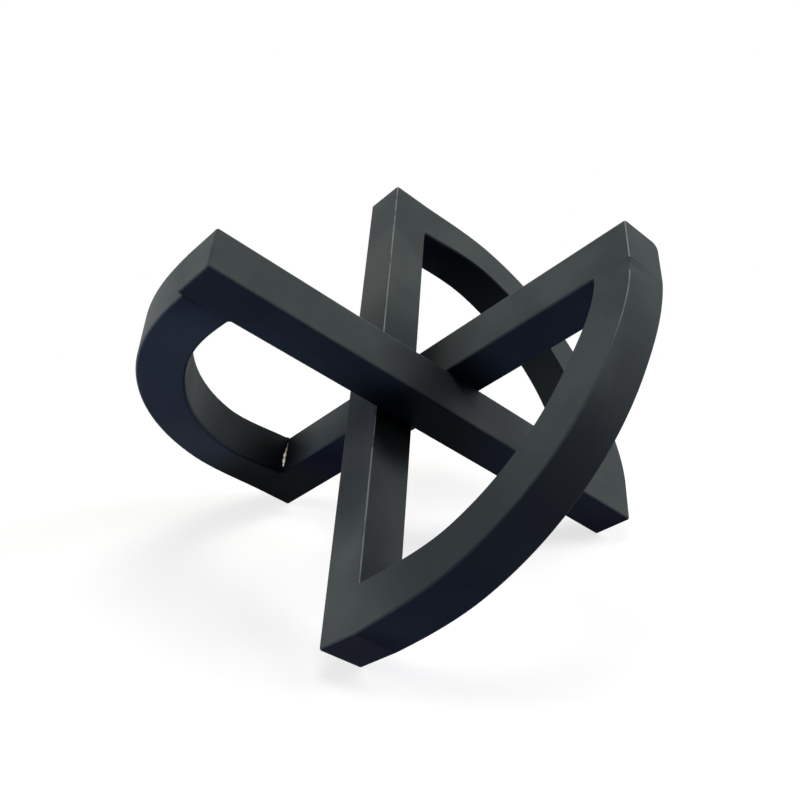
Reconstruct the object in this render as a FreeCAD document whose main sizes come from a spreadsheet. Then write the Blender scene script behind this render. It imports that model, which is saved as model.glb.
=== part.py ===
"""A table ornament: a knot of three straight and three curved square steel tubes, welded and painted.

The three straight tubes are square to each other, as the three axes of a cube are, and each passes
beside the other two, face against face. The cube stands on one corner, so each tube has a foot on
the table and a raised end. Three tubes rolled to about a quarter of a circle join the ends: each
runs from one tube's foot up to the raised end of the next, so that the whole is one closed loop.

Two frames are used. The knot's frame has its axes along the straight tubes: a along the tube with
the right foot, b along the front one, from foot to top, and c along the left one, from foot to top.
The part's frame has +Z up, its origin on the table below the middle of the knot, and the front foot
towards -Y. Lengths are millimetres and angles are degrees.
"""
import FreeCAD, Part
import math
import os

import Sketcher

# The driving dimensions: name, value and what it is.
SIZES = [
    ("bar_length", 175.0, "length of a straight tube with its two end caps"),
    ("tube_width", 15.0, "outer width of the square tube"),
    ("tube_wall", 1.2, "wall of the tube"),
    ("edge_radius", 0.9, "radius on the long edges of the tube"),
    ("cap_thickness", 1.5, "thickness of an end cap"),
    ("rim_radius", 0.8, "radius on the outer rim of an end cap"),
    ("corner_weld_leg", 1.2, "leg of the bead in the inner corner of a curved tube's end"),
    ("corner_weld_run", 11.0, "length of that bead"),
    ("crossing_weld_leg", 1.6, "leg of the beads where two straight tubes cross"),
    ("back_bend_radius", 76.8, "back curved tube: radius of its middle line"),
    ("back_bend_offset", 4.5, "back curved tube: bend centre from the knot's middle, outwards"),
    ("back_bend_slip", 0.0, "back curved tube: bend centre sideways, towards its foot"),
    ("back_bend_depth", 14.4, "back curved tube: depth of its rolled section, across the bend"),
    ("right_bend_radius", 88.1, "right curved tube: radius of its middle line"),
    ("right_bend_offset", -9.9, "right curved tube: bend centre from the knot's middle, outwards"),
    ("right_bend_slip", -0.4, "right curved tube: bend centre sideways, towards its foot"),
    ("right_bend_depth", 13.7, "right curved tube: depth of its rolled section, across the bend"),
    ("left_bend_radius", 75.2, "left curved tube: radius of its middle line"),
    ("left_bend_offset", 5.3, "left curved tube: bend centre from the knot's middle, outwards"),
    ("left_bend_slip", 0.6, "left curved tube: bend centre sideways, towards its foot"),
    ("left_bend_depth", 15.4, "left curved tube: depth of its rolled section, across the bend"),
    ("rolled_sweep", 110.0, "angle that a tube is rolled through before its ends are trimmed"),
    ("trim_reach", 130.0, "how far the trimming cuts run past the knot's middle"),
]

# Each side of the knot turns the first one by this much about the vertical axis.
SIDE_TURN = -120.0
# The sides in the order of their turns, each named for the foot that its two tubes stand on.
SIDES = ("right", "front", "left")
# The raised end that each side's straight tube and curved tube have.
BAR_TOP = {"right": "left", "front": "back", "left": "right"}
BEND_TOP = {"right": "back", "front": "right", "left": "left"}

# Two points nearer than this are one point.
TOLERANCE = 1e-4

# The cube's axes a, b and c in the part's frame: the cube stands on a corner.
AXIS_A = FreeCAD.Vector(1 / math.sqrt(2), 1 / math.sqrt(6), -1 / math.sqrt(3))
AXIS_B = FreeCAD.Vector(0, 2 / math.sqrt(6), 1 / math.sqrt(3))
AXIS_C = FreeCAD.Vector(1 / math.sqrt(2), -1 / math.sqrt(6), 1 / math.sqrt(3))

doc = FreeCAD.newDocument("metal_knot")
sheet = doc.addObject("Spreadsheet::Sheet", "Sizes")
for row, (alias, value, note) in enumerate(SIZES, 1):
    sheet.set(f"A{row}", alias)
    sheet.set(f"B{row}", str(value))
    sheet.set(f"C{row}", note)
    sheet.setAlias(f"B{row}", alias)
doc.recompute()


def number(expression):
    """The value of an expression over the sheet's cells."""
    result = sheet.evalExpression(expression)
    return float(getattr(result, "Value", result))


def foot_lift():
    """How far the rounded corner of an end cap stays above the sharp corner that it replaces.

    The corner points straight down, the same angle from its three edges. Along the tube it is
    rounded by the rim radius and across the tube by the edge radius.
    """
    edge = number("Sizes.edge_radius")
    rim = number("Sizes.rim_radius")
    return (rim + 2 * edge) / math.sqrt(3) - (edge - rim) * math.sqrt(2 / 3) - rim


def knot_height():
    """Height of the knot's middle above the table: the sharp corner's drop less its rounding."""
    reach = number("Sizes.bar_length / 2 + Sizes.tube_width")
    return reach / math.sqrt(3) - foot_lift()


def place(item, side, origin, x_axis, y_axis):
    """Puts an item in the part's frame, from an origin and two axes given in the knot's frame."""
    knot = FreeCAD.Rotation(AXIS_A, AXIS_B, AXIS_C, "XYZ")
    own = FreeCAD.Rotation(x_axis, y_axis, x_axis.cross(y_axis), "XYZ")
    turn = FreeCAD.Rotation(FreeCAD.Vector(0, 0, 1), SIDE_TURN * SIDES.index(side))
    up = FreeCAD.Vector(0, 0, knot_height())
    item.Placement = FreeCAD.Placement(turn.multVec(knot.multVec(origin)) + up, turn * knot * own)


def new_body(name):
    body = doc.addObject("PartDesign::Body", name)
    body.Label = name
    return body


def new_sketch(body, name, role):
    """A sketch on one of the body's own origin planes."""
    sketch = body.newObject("Sketcher::SketchObject", name)
    plane = next(item for item in body.Origin.OriginFeatures if item.Role == role)
    sketch.AttachmentSupport = [(plane, "")]
    sketch.MapMode = "FlatFace"
    return sketch


def bind(sketch, name, constraint, expression):
    """Adds a constraint whose value follows an expression over the sheet's cells."""
    index = sketch.addConstraint(Sketcher.Constraint(*constraint, number(expression)))
    sketch.renameConstraint(index, name)
    sketch.setExpression(f"Constraints.{name}", expression)


def centre_point(sketch, distance):
    """A construction point on the sketch's x axis, this far from its origin."""
    point = sketch.addGeometry(Part.Point(FreeCAD.Vector(number(distance), 0, 0)), True)
    sketch.addConstraint(Sketcher.Constraint("PointOnObject", point, 1, -1))
    bind(sketch, "centre", ("DistanceX", -1, 1, point, 1), distance)
    return (point, 1), number(distance)


def rectangle(sketch, name, centre, centre_x, wide, tall):
    """A sharp rectangle about a centre point, for the inside of the tube."""
    half_x = number(wide) / 2
    half_y = number(tall) / 2
    corners = [
        FreeCAD.Vector(centre_x + sx * half_x, sy * half_y, 0)
        for sx, sy in ((-1, -1), (1, -1), (1, 1), (-1, 1))
    ]
    lines = [
        sketch.addGeometry(Part.LineSegment(corners[i], corners[(i + 1) % 4]), False) for i in range(4)
    ]
    for i in range(4):
        sketch.addConstraint(Sketcher.Constraint("Coincident", lines[i], 2, lines[(i + 1) % 4], 1))
    for i in (0, 2):
        sketch.addConstraint(Sketcher.Constraint("Horizontal", lines[i]))
        sketch.addConstraint(Sketcher.Constraint("Vertical", lines[i + 1]))
    sketch.addConstraint(Sketcher.Constraint("Symmetric", lines[0], 1, lines[2], 1, *centre))
    bind(sketch, name + "_wide", ("DistanceX", lines[0], 1, lines[0], 2), wide)
    bind(sketch, name + "_tall", ("DistanceY", lines[1], 1, lines[1], 2), tall)


def rounded_rectangle(sketch, name, centre, centre_x, wide, tall, radius):
    """A rectangle with rounded corners about a centre point, for the outside of the tube."""
    half_x = number(wide) / 2
    half_y = number(tall) / 2
    r = number(radius)
    lines = []
    arcs = []
    for quarter in range(4):
        # The side before corner number `quarter`, and then the corner, anticlockwise from below.
        turn = FreeCAD.Rotation(FreeCAD.Vector(0, 0, 1), 90.0 * quarter)
        run, rise = (half_x, half_y) if quarter % 2 == 0 else (half_y, half_x)
        middle = FreeCAD.Vector(centre_x, 0, 0)
        start = middle + turn.multVec(FreeCAD.Vector(r - run, -rise, 0))
        end = middle + turn.multVec(FreeCAD.Vector(run - r, -rise, 0))
        corner = middle + turn.multVec(FreeCAD.Vector(run - r, r - rise, 0))
        circle = Part.Circle(corner, FreeCAD.Vector(0, 0, 1), r)
        first = math.radians(90.0 * quarter - 90.0)
        lines.append(sketch.addGeometry(Part.LineSegment(start, end), False))
        arcs.append(sketch.addGeometry(Part.ArcOfCircle(circle, first, first + math.pi / 2), False))
    for i in range(4):
        sketch.addConstraint(Sketcher.Constraint("Tangent", lines[i], 2, arcs[i], 1))
        sketch.addConstraint(Sketcher.Constraint("Tangent", arcs[i], 2, lines[(i + 1) % 4], 1))
    for i in (0, 2):
        sketch.addConstraint(Sketcher.Constraint("Horizontal", lines[i]))
        sketch.addConstraint(Sketcher.Constraint("Vertical", lines[i + 1]))
    for i in (1, 2, 3):
        sketch.addConstraint(Sketcher.Constraint("Equal", arcs[0], arcs[i]))
    sketch.addConstraint(Sketcher.Constraint("Symmetric", arcs[0], 3, arcs[2], 3, *centre))
    bind(sketch, name + "_radius", ("Radius", arcs[0]), radius)
    bind(sketch, name + "_wide", ("DistanceX", lines[3], 1, lines[1], 1), wide)
    bind(sketch, name + "_tall", ("DistanceY", lines[0], 1, lines[2], 1), tall)


def tube_section(sketch, centre, centre_x, wide, tall):
    """The rolled or drawn tube cut across: a rounded outside and a plain inside."""
    rounded_rectangle(sketch, "outer", centre, centre_x, wide, tall, "Sizes.edge_radius")
    inner_wide = f"{wide} - 2 * Sizes.tube_wall"
    inner_tall = f"{tall} - 2 * Sizes.tube_wall"
    rectangle(sketch, "inner", centre, centre_x, inner_wide, inner_tall)


def straight_tube(side):
    """One straight tube, without its caps. Its own z axis is the tube's axis."""
    body = new_body(f"straight_tube_{side}")
    sketch = new_sketch(body, f"{side}_section", "XY_Plane")
    tube_section(sketch, (-1, 1), 0.0, "Sizes.tube_width", "Sizes.tube_width")
    pad = body.newObject("PartDesign::Pad", f"{side}_length")
    pad.Profile = sketch
    pad.SideType = "Symmetric"
    pad.setExpression("Length", "Sizes.bar_length - 2 * Sizes.cap_thickness")
    half = number("Sizes.tube_width / 2")
    place(body, side, FreeCAD.Vector(0, -half, half), FreeCAD.Vector(0, 1, 0), FreeCAD.Vector(0, 0, 1))
    return body


def end_cap(side, end):
    """The plate that closes a straight tube. The end is 1 at the foot and -1 at the raised end."""
    name = f"end_cap_{side}_foot" if end > 0 else f"end_cap_{BAR_TOP[side]}_top"
    body = new_body(name)
    sketch = new_sketch(body, name + "_outline", "XY_Plane")
    width = "Sizes.tube_width"
    rounded_rectangle(sketch, "outer", (-1, 1), 0.0, width, width, "Sizes.edge_radius")
    pad = body.newObject("PartDesign::Pad", name + "_plate")
    pad.Profile = sketch
    pad.setExpression("Length", "Sizes.cap_thickness")
    doc.recompute()
    top = number("Sizes.cap_thickness")
    rim = [
        f"Edge{index}"
        for index, edge in enumerate(pad.Shape.Edges, 1)
        if all(abs(vertex.Z - top) < TOLERANCE for vertex in edge.Vertexes)
    ]
    fillet = body.newObject("PartDesign::Fillet", name + "_rim")
    fillet.Base = (pad, rim)
    fillet.setExpression("Radius", "Sizes.rim_radius")
    half = number("Sizes.tube_width / 2")
    seat = number("Sizes.bar_length / 2 - Sizes.cap_thickness")
    origin = FreeCAD.Vector(end * seat, -half, half)
    place(body, side, origin, FreeCAD.Vector(0, 1, 0), FreeCAD.Vector(0, 0, end))
    return body


def bend_tilt(bend):
    """The tilt of a rolled tube's plane, as an expression: it rises by one tube width, end to end.

    The tube's outer side ends flush with the two straight tubes. Its middle line meets one of them
    half a width above the bend's middle and the other half a width below it. With u the cotangent
    of the tilt, half the width times u is the distance of each end from the bend's middle plane,
    and a right triangle from the bend's centre gives
    (half u - offset)^2 + half^2 (1 + u^2) = radius^2, which is solved for u here.
    """
    half = "(Sizes.tube_width / 2)"
    radius = f"(Sizes.{bend}_bend_radius + Sizes.{bend}_bend_depth / 2)"
    offset = f"Sizes.{bend}_bend_offset"
    root = f"sqrt(2 * ({radius} ^ 2 - {half} ^ 2) - {offset} ^ 2)"
    return f"atan(2 * {half} / ({offset} + {root}))"


def curved_tube(side):
    """One rolled tube, trimmed by the sides of the two straight tubes that it joins.

    Its own x axis runs from the knot's middle through the middle of the bend and its z axis is c.
    The bend lies in a plane that is tilted about x.
    """
    bend = BEND_TOP[side]
    body = new_body(f"curved_tube_{bend}")
    tilt = bend_tilt(bend)
    section = new_sketch(body, f"{bend}_bend_section", "XZ_Plane")
    section.setExpression("AttachmentOffset.Base.x", f"Sizes.{bend}_bend_offset")
    section.setExpression("AttachmentOffset.Base.y", f"Sizes.{bend}_bend_slip * sin({tilt})")
    section.setExpression("AttachmentOffset.Base.z", f"Sizes.{bend}_bend_slip * cos({tilt})")
    section.AttachmentOffset = FreeCAD.Placement(
        FreeCAD.Vector(0, 0, 0), FreeCAD.Rotation(FreeCAD.Vector(-1, 0, 0), number(tilt))
    )
    section.setExpression("AttachmentOffset.Rotation.Angle", tilt)
    centre, centre_x = centre_point(section, f"Sizes.{bend}_bend_radius")
    tube_section(section, centre, centre_x, f"Sizes.{bend}_bend_depth", "Sizes.tube_width")
    ring = body.newObject("PartDesign::Revolution", f"{bend}_bend")
    ring.Profile = section
    ring.ReferenceAxis = (section, ["V_Axis"])
    ring.Midplane = True
    ring.setExpression("Angle", "Sizes.rolled_sweep")
    doc.recompute()
    trim = new_sketch(body, f"{bend}_bend_trim", "XY_Plane")
    trim_outline(trim)
    cut = body.newObject("PartDesign::Pocket", f"{bend}_bend_ends")
    cut.Profile = trim
    cut.SideType = "Symmetric"
    cut.setExpression("Length", "2 * Sizes.trim_reach")
    diagonal = FreeCAD.Vector(1, 1, 0).normalize()
    across = FreeCAD.Vector(-1, 1, 0).normalize()
    place(body, side, FreeCAD.Vector(0, 0, 0), diagonal, across)
    return body


def trim_outline(sketch):
    """All of the plane outside the quarter about the x axis: a square with a notch to its middle."""
    reach = number("Sizes.trim_reach")
    shares = [(0, 0), (1, 1), (-1, 1), (-1, -1), (1, -1)]
    points = [FreeCAD.Vector(x * reach, y * reach, 0) for x, y in shares]
    lines = [
        sketch.addGeometry(Part.LineSegment(points[i], points[(i + 1) % 5]), False) for i in range(5)
    ]
    for i in range(5):
        sketch.addConstraint(Sketcher.Constraint("Coincident", lines[i], 2, lines[(i + 1) % 5], 1))
    sketch.addConstraint(Sketcher.Constraint("Coincident", lines[0], 1, -1, 1))
    sketch.addConstraint(Sketcher.Constraint("Horizontal", lines[1]))
    sketch.addConstraint(Sketcher.Constraint("Vertical", lines[2]))
    sketch.addConstraint(Sketcher.Constraint("Horizontal", lines[3]))
    bind(sketch, "upper_x", ("DistanceX", -1, 1, lines[0], 2), "Sizes.trim_reach")
    bind(sketch, "upper_y", ("DistanceY", -1, 1, lines[0], 2), "Sizes.trim_reach")
    bind(sketch, "lower_x", ("DistanceX", -1, 1, lines[3], 2), "Sizes.trim_reach")
    bind(sketch, "lower_y", ("DistanceY", lines[3], 2, -1, 1), "Sizes.trim_reach")
    bind(sketch, "far_x", ("DistanceX", lines[1], 2, -1, 1), "Sizes.trim_reach")


def inner_point(bend, end, gap, height):
    """A point in the knot's frame on the inner face of a rolled tube.

    gap is its distance from the side of the straight tube, and height its place along c. The end is
    1 at the foot and -1 at the raised end. The inner face is a cylinder about the tilted bend's axis,
    which gives a quadratic for the distance along the straight tube.
    """
    tilt = math.radians(number(bend_tilt(bend)))
    radius = number(f"Sizes.{bend}_bend_radius - Sizes.{bend}_bend_depth / 2")
    offset = number(f"Sizes.{bend}_bend_offset")
    slip = number(f"Sizes.{bend}_bend_slip")
    out_slope = 1 / math.sqrt(2)
    side_slope = end * math.cos(tilt) / math.sqrt(2)
    out_start = gap / math.sqrt(2) - offset
    side_start = -side_slope * gap + math.sin(tilt) * height - slip
    square = out_slope**2 + side_slope**2
    linear = out_slope * out_start + side_slope * side_start
    constant = out_start**2 + side_start**2 - radius**2
    along = (-linear + math.sqrt(linear**2 - square * constant)) / square
    if end > 0:
        return FreeCAD.Vector(along, gap, height)
    return FreeCAD.Vector(gap, along, height)


def corner_weld(side, end):
    """The bead in the inner corner between a rolled tube's end and the side of a straight tube.

    It is a loft between two triangles, square to c: the corner, a point on the straight tube's side
    and a point on the rolled tube's inner face.
    """
    bend = BEND_TOP[side]
    name = f"weld_{side}_foot" if end > 0 else f"weld_{bend}_top"
    leg = number("Sizes.corner_weld_leg")
    run = number("Sizes.corner_weld_run / 2")
    middle = end * number("Sizes.tube_width / 2")
    towards = FreeCAD.Vector(-leg, 0, 0) if end > 0 else FreeCAD.Vector(0, -leg, 0)
    sections = []
    for height in (middle - run, middle + run):
        corner = inner_point(bend, end, 0.0, height)
        on_bend = inner_point(bend, end, leg, height)
        sections.append(Part.makePolygon([corner, corner + towards, on_bend, corner]))
    item = doc.addObject("Part::Feature", name)
    item.Label = name
    item.Shape = Part.makeLoft(sections, True, True)
    place(item, side, FreeCAD.Vector(0, 0, 0), FreeCAD.Vector(1, 0, 0), FreeCAD.Vector(0, 1, 0))
    return item


def crossing_weld(front, rear, origin, across, away):
    """The two beads along the sides of the rear straight tube, on the back of the front one.

    origin is the middle of the square where the two tubes touch, across points over the rear tube
    and away from the front one. Each bead fills the groove at the rear tube's rounded edge.
    """
    name = f"weld_{front}_over_{rear}"
    sketch = doc.addObject("Sketcher::SketchObject", name + "_section")
    half = "Sizes.tube_width / 2"
    edge = "Sizes.edge_radius"
    leg = "Sizes.crossing_weld_leg"
    half_n, edge_n, leg_n = number(half), number(edge), number(leg)
    for sign, word in ((1, "one"), (-1, "other")):
        inside = FreeCAD.Vector(sign * (half_n - edge_n), 0, 0)
        toe = FreeCAD.Vector(sign * (half_n + leg_n), 0, 0)
        crest = FreeCAD.Vector(sign * half_n, leg_n, 0)
        tangent = FreeCAD.Vector(sign * half_n, edge_n, 0)
        circle = Part.Circle(FreeCAD.Vector(inside.x, edge_n, 0), FreeCAD.Vector(0, 0, 1), edge_n)
        first, last = (-math.pi / 2, 0) if sign > 0 else (math.pi, 3 * math.pi / 2)
        base = sketch.addGeometry(Part.LineSegment(inside, toe), False)
        face = sketch.addGeometry(Part.LineSegment(toe, crest), False)
        flank = sketch.addGeometry(Part.LineSegment(crest, tangent), False)
        round_edge = sketch.addGeometry(Part.ArcOfCircle(circle, first, last), False)
        low, high = (1, 2) if sign > 0 else (2, 1)
        sketch.addConstraint(Sketcher.Constraint("Coincident", base, 2, face, 1))
        sketch.addConstraint(Sketcher.Constraint("Coincident", face, 2, flank, 1))
        sketch.addConstraint(Sketcher.Constraint("Tangent", flank, 2, round_edge, high))
        sketch.addConstraint(Sketcher.Constraint("Tangent", base, 1, round_edge, low))
        sketch.addConstraint(Sketcher.Constraint("PointOnObject", base, 1, -1))
        sketch.addConstraint(Sketcher.Constraint("Horizontal", base))
        sketch.addConstraint(Sketcher.Constraint("Vertical", flank))
        ends = (-1, 1, flank, 1) if sign > 0 else (flank, 1, -1, 1)
        bind(sketch, word + "_half", ("DistanceX", *ends), half)
        bind(sketch, word + "_edge", ("Radius", round_edge), edge)
        bind(sketch, word + "_crest", ("DistanceY", -1, 1, flank, 1), leg)
        ends = (-1, 1, base, 2) if sign > 0 else (base, 2, -1, 1)
        bind(sketch, word + "_toe", ("DistanceX", *ends), f"{half} + {leg}")
    bead = doc.addObject("Part::Extrusion", name)
    bead.Label = name
    bead.Base = sketch
    bead.DirMode = "Normal"
    bead.Solid = True
    bead.Symmetric = True
    bead.setExpression("LengthFwd", f"Sizes.tube_width - 2 * {leg}")
    place(bead, "right", origin, across, away)
    return bead


def crossing_welds():
    """The three crossings, each given by the middle of its contact square in the knot's frame."""
    half = number("Sizes.tube_width / 2")
    along_a, along_b = FreeCAD.Vector(1, 0, 0), FreeCAD.Vector(0, 1, 0)
    down_c = FreeCAD.Vector(0, 0, -1)
    return [
        crossing_weld("right", "front", FreeCAD.Vector(-half, -half, 0), along_a, down_c),
        crossing_weld("front", "left", FreeCAD.Vector(0, half, -half), along_b, along_a),
        crossing_weld("right", "left", FreeCAD.Vector(half, 0, half), along_a, along_b),
    ]


def check(items):
    """Stops if any object failed or any sub-part's shape is missing, broken or open."""
    for item in doc.Objects:
        if {"Invalid", "Error"} & set(item.State):
            raise RuntimeError(f"{item.Label} failed: {item.State}")
    for item in items:
        shape = item.Shape
        if shape.isNull() or not shape.isValid() or not shape.Solids:
            raise RuntimeError(f"{item.Label} has no valid solid")


def main():
    items = []
    for side in SIDES:
        items.append(straight_tube(side))
        items.append(curved_tube(side))
        for end in (1, -1):
            items.append(end_cap(side, end))
            items.append(corner_weld(side, end))
    items += crossing_welds()
    doc.recompute()
    check(items)
    os.makedirs("parts", exist_ok=True)
    box = FreeCAD.BoundBox()
    for item in items:
        item.Shape.exportStep(f"parts/{item.Label}.step")
        box.add(item.Shape.optimalBoundingBox())
        print(f"{item.Label:24s} {len(item.Shape.Solids)} solid(s) {item.Shape.Volume:10.1f} mm3")
    print(f"x {box.XMin:.2f} to {box.XMax:.2f}, y {box.YMin:.2f} to {box.YMax:.2f}", end=", ")
    print(f"z {box.ZMin:.3f} to {box.ZMax:.2f} mm")


main()
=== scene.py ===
# %% [markdown]
# # A knot of square steel tube
#
# The ornament is welded from square steel tube. Three straight tubes pass each other in the middle,
# and three curved ones join their ends, so that the whole is one closed loop. It stands on three
# corners and is painted black. The CAD model gives the frame: every piece below lies where it says.
# This first cell loads that model and keeps its box.

# %% Load the frame
import math

import bpy
import numpy as np
from mathutils import Matrix, Vector


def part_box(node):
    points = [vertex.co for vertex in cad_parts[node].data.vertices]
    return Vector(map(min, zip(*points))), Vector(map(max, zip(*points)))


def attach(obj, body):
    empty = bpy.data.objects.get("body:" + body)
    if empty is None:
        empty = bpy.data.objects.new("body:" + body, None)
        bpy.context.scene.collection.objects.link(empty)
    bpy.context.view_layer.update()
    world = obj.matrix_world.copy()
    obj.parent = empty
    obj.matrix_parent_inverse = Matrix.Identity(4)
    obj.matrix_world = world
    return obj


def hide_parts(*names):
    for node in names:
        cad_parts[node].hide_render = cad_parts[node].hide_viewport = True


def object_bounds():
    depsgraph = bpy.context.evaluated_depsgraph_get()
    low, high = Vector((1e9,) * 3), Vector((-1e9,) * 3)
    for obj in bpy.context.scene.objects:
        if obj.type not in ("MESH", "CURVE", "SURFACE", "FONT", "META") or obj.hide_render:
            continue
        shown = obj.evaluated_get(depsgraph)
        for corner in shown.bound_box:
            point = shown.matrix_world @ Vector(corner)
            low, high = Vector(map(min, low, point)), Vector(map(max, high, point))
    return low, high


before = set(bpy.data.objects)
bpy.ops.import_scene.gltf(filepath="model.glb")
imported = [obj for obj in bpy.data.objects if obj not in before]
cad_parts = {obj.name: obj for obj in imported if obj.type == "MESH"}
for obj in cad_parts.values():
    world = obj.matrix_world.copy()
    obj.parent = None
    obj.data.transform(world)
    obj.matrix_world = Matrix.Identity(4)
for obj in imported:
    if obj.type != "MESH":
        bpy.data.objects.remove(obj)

CAD_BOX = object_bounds()
print("CAD box in mm:", [[round(1000 * value, 2) for value in corner] for corner in CAD_BOX])

# %% [markdown]
# ## The camera
#
# The picture was taken from the front, a little to the right and above, close enough for the nearest
# foot to look larger than the raised end behind it. The picture's upright lines hardly lean in, so
# the lens looks nearly level and the picture is framed lower than its axis. A downward shift does
# that. Most of the shift is given up here for a slight downward tilt, so that the knot stays in the
# picture when the camera goes round it. Place, aim and lens could be set by eye, but they were worked
# out from where the corners of the tubes lie in the picture, which is closer.

# %% Camera
CAMERA_PLACE = Vector((0.02295, -0.31961, 0.15861))
CAMERA_AIM = Vector((-0.00507, 0.00653, 0.09340))
CAMERA_ROLL = math.radians(-0.516)
LENS_MM = 46.526
SHIFT_DOWN = 0.15


def make_camera():
    """A camera that looks from its place to its aim, turned by a small roll about its own axis."""
    data = bpy.data.cameras.new("camera")
    data.lens = LENS_MM
    data.shift_y = -SHIFT_DOWN
    camera = bpy.data.objects.new("camera", data)
    look = (CAMERA_AIM - CAMERA_PLACE).to_track_quat("-Z", "Y").to_matrix()
    roll = Matrix.Rotation(CAMERA_ROLL, 3, "Z")
    camera.matrix_world = Matrix.Translation(CAMERA_PLACE) @ (look @ roll).to_4x4()
    bpy.context.scene.collection.objects.link(camera)
    bpy.context.scene.camera = camera
    return camera


camera = make_camera()
print(camera.name, "stands", round((CAMERA_AIM - CAMERA_PLACE).length, 3), "m from what it looks at")

# %% [markdown]
# ## Helpers for colours and nodes
#
# Colours are picked on a screen, so they are written as hex values in the screen's own sRGB.
# Shaders work with linear light, so one function turns the one into the other. One more function
# adds a node, sets what is given by name, and links its inputs. A material could be drawn by hand in
# the node editor, but written out like this it can be read, changed and made again.

# %% Colour and node helpers
def linear(hex_colour):
    """sRGB hex to linear RGBA: a straight line near black and a power of 2.4 above it."""
    values = np.array([int(hex_colour[i:i + 2], 16) / 255 for i in (1, 3, 5)])
    low = values / 12.92
    high = ((values + 0.055) / 1.055) ** 2.4
    return (*np.where(values <= 0.04045, low, high).tolist(), 1.0)


def add_node(tree, kind, inputs=None, **settings):
    """Adds a node. An input is given a number, a colour, or the socket that it is linked from."""
    node = tree.nodes.new(kind)
    for name, value in settings.items():
        setattr(node, name, value)
    for name, value in (inputs or {}).items():
        if isinstance(value, bpy.types.NodeSocket):
            tree.links.new(value, node.inputs[name])
        else:
            node.inputs[name].default_value = value
    return node


print("mid grey #808080 in linear light:", [round(value, 4) for value in linear("#808080")])

# %% [markdown]
# ## A ground that is seen as white
#
# The picture has a pure white ground. Stronger lamps could burn the floor out to white, but they
# would burn out the knot too. So the floor and the world go by the kind of ray that meets them: they
# are white to the camera, in reflections and through glass, and the knot gets only the light that
# is meant for it.

# %% Rays that see white
WHITE = (1.0, 1.0, 1.0, 1.0)


def seen_directly(tree):
    """1 for rays from the camera, in reflections and through glass, and 0 for bounced light."""
    path = add_node(tree, "ShaderNodeLightPath")
    either = add_node(
        tree, "ShaderNodeMath", {0: path.outputs["Is Camera Ray"], 1: path.outputs["Is Glossy Ray"]},
        operation="MAXIMUM",
    )
    return add_node(
        tree, "ShaderNodeMath", {0: either.outputs[0], 1: path.outputs["Is Transmission Ray"]},
        operation="MAXIMUM",
    ).outputs[0]


print("white is", WHITE[:3], "in linear light")

# %% [markdown]
# ## Floor
#
# The knot stands on a white sheet and throws a soft shadow on it. Close to the knot the floor is card
# with a glow of its own, which keeps the shadow light. Away from it the floor turns into plain white,
# so that no horizon shows. A curved backdrop could do that too, but it would show from the side. For
# the light that bounces back up the floor is a dim navy, because the undersides in the picture are
# much darker than the upper sides and lean to blue.

# %% Floor
FLOOR_HALF = 6.0
FLOOR_GLOW = 0.72
FLOOR_CARD = 0.35
FLOOR_BOUNCE = "#182a68"
SHADOW_NEAR = 0.10
SHADOW_FAR = 0.26


def floor_material():
    """White card with a glow of its own, so that its shadow stays light, and plain white far out."""
    material = bpy.data.materials.new("white_card_floor")
    material.use_nodes = True
    tree = material.node_tree
    tree.nodes.clear()
    card = add_node(tree, "ShaderNodeBsdfDiffuse", {"Color": (FLOOR_CARD,) * 3 + (1.0,)})
    glow = add_node(tree, "ShaderNodeEmission", {"Color": WHITE, "Strength": FLOOR_GLOW})
    near = add_node(tree, "ShaderNodeAddShader", {0: card.outputs[0], 1: glow.outputs[0]})
    white = add_node(tree, "ShaderNodeEmission", {"Color": WHITE, "Strength": 1.0})
    place = add_node(tree, "ShaderNodeTexCoord")
    distance = add_node(
        tree, "ShaderNodeVectorMath", {0: place.outputs["Object"]}, operation="LENGTH"
    )
    fade = add_node(
        tree, "ShaderNodeMapRange",
        {"Value": distance.outputs["Value"], "From Min": SHADOW_NEAR, "From Max": SHADOW_FAR},
        interpolation_type="SMOOTHSTEP",
    )
    shown = add_node(
        tree, "ShaderNodeMixShader", {0: fade.outputs[0], 1: near.outputs[0], 2: white.outputs[0]}
    )
    bounce = add_node(tree, "ShaderNodeBsdfDiffuse", {"Color": linear(FLOOR_BOUNCE)})
    mix = add_node(
        tree, "ShaderNodeMixShader", {0: seen_directly(tree), 1: bounce.outputs[0], 2: shown.outputs[0]}
    )
    add_node(tree, "ShaderNodeOutputMaterial", {"Surface": mix.outputs[0]})
    return material


def make_floor():
    """One large square of four points about the origin."""
    corners = FLOOR_HALF * np.array([(-1, -1, 0), (1, -1, 0), (1, 1, 0), (-1, 1, 0)], dtype=float)
    mesh = bpy.data.meshes.new("floor")
    mesh.from_pydata(corners.tolist(), [], [(0, 1, 2, 3)])
    mesh.materials.append(floor_material())
    floor = bpy.data.objects.new("floor", mesh)
    bpy.context.scene.collection.objects.link(floor)
    return floor


floor = make_floor()
print(floor.name, "is", 2 * FLOOR_HALF, "m square and plain white from", SHADOW_FAR, "m outwards")

# %% [markdown]
# ## World
#
# The world lights a scene from all round. A bright one would fill in every shadow, and the picture
# has clear differences between the sides of each tube. So the world is white only when it is seen,
# and leaves nearly all of the lighting to the lamps.

# %% World
SKY_LIGHT = 0.004


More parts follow.
